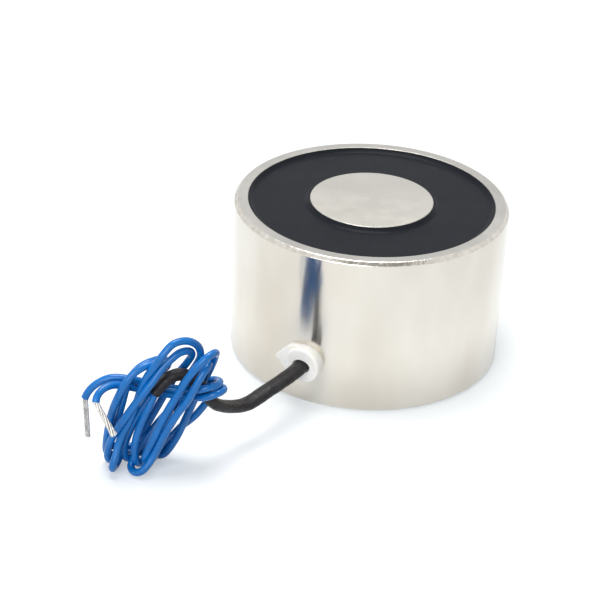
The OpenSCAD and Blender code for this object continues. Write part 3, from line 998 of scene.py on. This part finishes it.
# %% [markdown]
# ## What is inside
#
# The coil is cast in and can't be seen, but the solids are there for anyone who cuts the model open. They
# get simple finishes of their own: moulded nylon, copper with its turns, yellow tape, and the same blue
# and black as outside.

# %% Inner finishes
bobbin = Finish("moulded_bobbin")
bobbin.tones(bobbin.uneven(200), (0.62, 0.58, 0.46), (0.7, 0.66, 0.54))
bobbin.gloss(bobbin.uneven(500, low=0.4, high=0.5))

copper = Finish("enamelled_copper").set(Metallic=1.0)
copper.tones(copper.turning(2000, "Bands"), (0.45, 0.16, 0.06), (0.72, 0.32, 0.14))
copper.gloss(copper.uneven(600, low=0.2, high=0.32))
copper.bump(copper.turning(2000, "Bands"), depth=0.1)

tape = Finish("coil_tape")
tape.tones(tape.uneven(150), (0.72, 0.5, 0.06), (0.8, 0.58, 0.1))
tape.gloss(tape.uneven(300, low=0.25, high=0.35))

for name, finish in (
    ("coil_bobbin", bobbin), ("coil_winding", copper), ("winding_tape", tape), ("inner_lead_a", insulation),
    ("inner_lead_b", insulation), ("joint_sleeve_a", shrunk), ("joint_sleeve_b", shrunk),
):
    dress(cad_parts[name], finish)
print("inner finishes done")

# %% [markdown]
# ## The studio
#
# A pale object on pale paper needs care: enough light to make the paper white would bleach the object. So
# the paper itself is lifted. For rays that the camera sees, straight or by reflection, it glows a little
# on top of the light that falls on it, and the shadows stay, only paler. The air around is plain white for
# the same rays, and a dimmer fill for the light that reaches the surfaces.

# %% World
FILL_STRENGTH = 0.2
FILL_COLOR = (0.92, 0.96, 1.0, 1)


def seen_by_camera(nodes, links):
    """A socket that is 1 for rays the camera sees, straight, mirrored or through glass."""
    path = nodes.new("ShaderNodeLightPath")
    total = path.outputs["Is Camera Ray"]
    for label in ("Is Glossy Ray", "Is Transmission Ray"):
        either = nodes.new("ShaderNodeMath")
        either.operation = "MAXIMUM"
        links.new(total, either.inputs[0])
        links.new(path.outputs[label], either.inputs[1])
        total = either.outputs["Value"]
    return total


world = bpy.data.worlds.new("studio")
world.use_nodes = True
scene.world = world
nodes = world.node_tree.nodes
links = world.node_tree.links
fill = nodes["Background"]
fill.inputs["Color"].default_value = FILL_COLOR
fill.inputs["Strength"].default_value = FILL_STRENGTH
white = nodes.new("ShaderNodeBackground")
white.inputs["Color"].default_value = (1, 1, 1, 1)
choose = nodes.new("ShaderNodeMixShader")
links.new(seen_by_camera(nodes, links), choose.inputs["Fac"])
links.new(fill.outputs["Background"], choose.inputs[1])
links.new(white.outputs["Background"], choose.inputs[2])
links.new(choose.outputs["Shader"], nodes["World Output"].inputs["Surface"])
print("world: white to look at, fill of", FILL_STRENGTH)

# %% [markdown]
# ## Lights and paper
#
# One large round light hangs above and a smaller one stands in front, near the camera, as in most product
# pictures. The paper is one big sheet. A dark sheet hangs high in front, where only reflections show it,
# and
# it glows a dim grey of its own: the broken edge of the rim mirrors it, so it is a painted dark reflection
# that makes that edge stand out from the white around it.

# %% Lights


def aimed(place, target):
    """The matrix of something at a place that looks at a target, both in millimetres."""
    place = Vector(place) * MM
    ahead = Vector(target) * MM - place
    return Matrix.Translation(place) @ ahead.to_track_quat("-Z", "Y").to_matrix().to_4x4()


def soft_light(name, place, target, size, energy, color):
    """A round area light, with its places and size in millimetres."""
    data = bpy.data.lights.new(name, "AREA")
    data.shape = "DISK"
    data.size = size * MM
    data.energy = energy
    data.color = color
    light = bpy.data.objects.new(name, data)
    light.matrix_world = aimed(place, target)
    scene.collection.objects.link(light)


soft_light("top_light", place=(-75, 50, 600), target=(0, -30, 0), size=400, energy=3.75,
           color=(1.0, 0.985, 0.96))
soft_light("front_light", place=(30, -380, 190), target=(-2, -35, 8), size=300, energy=1.0,
           color=(1.0, 0.99, 0.98))
print("two soft lights")

# %% Paper and flag
PAPER_LIFT = 0.42
FLOOR_WIDTH = 4000
FLOOR_DROP = 0.05
FLAG_WIDTH = 560
FLAG_PLACE = (205, -265, 620)
FLAG_TARGET = (0, -30, 0)


def stage_piece(name, width, matrix, finish):
    """A square sheet that belongs to the studio and not to the object."""
    mesh = bmesh.new()
    bmesh.ops.create_grid(mesh, x_segments=2, y_segments=2, size=width / 2 * MM, matrix=matrix)
    sheet = finish_mesh(name, mesh, smooth=False)
    scene.collection.objects.link(sheet)
    dress(sheet, finish)
    return sheet


paper = Finish("white_paper").set(Base_Color=(0.62, 0.625, 0.63, 1), Roughness=0.9, Specular_IOR_Level=0.0,
                                  Emission_Color=(0.88, 0.95, 1.0, 1))
lift = paper.nodes.new("ShaderNodeMath")
lift.operation = "MULTIPLY"
lift.inputs[1].default_value = PAPER_LIFT
paper.links.new(seen_by_camera(paper.nodes, paper.links), lift.inputs[0])
paper.links.new(lift.outputs["Value"], paper.shader.inputs["Emission Strength"])
stage_piece("floor", FLOOR_WIDTH, Matrix.Translation((0, 0, -FLOOR_DROP * MM)), paper)

# The flag is a dark sheet that glows a dim grey and is seen only in reflections: a painted dark reflection
# on the rim's broken edge.
grey_glow_for_reflections = Finish("painted_reflection_grey").set(Base_Color=(0.03, 0.03, 0.03, 1), Roughness=0.9,
                                      Specular_IOR_Level=0.0, Emission_Color=(0.4, 0.39, 0.37, 1),
                                      Emission_Strength=1.0)
flag = stage_piece("flag", FLAG_WIDTH, aimed(FLAG_PLACE, FLAG_TARGET), grey_glow_for_reflections)
flag.visible_camera = False
flag.visible_diffuse = False
flag.visible_transmission = False
flag.visible_shadow = False

scene.view_settings.view_transform = "Standard"
print("white paper and a dark flag")
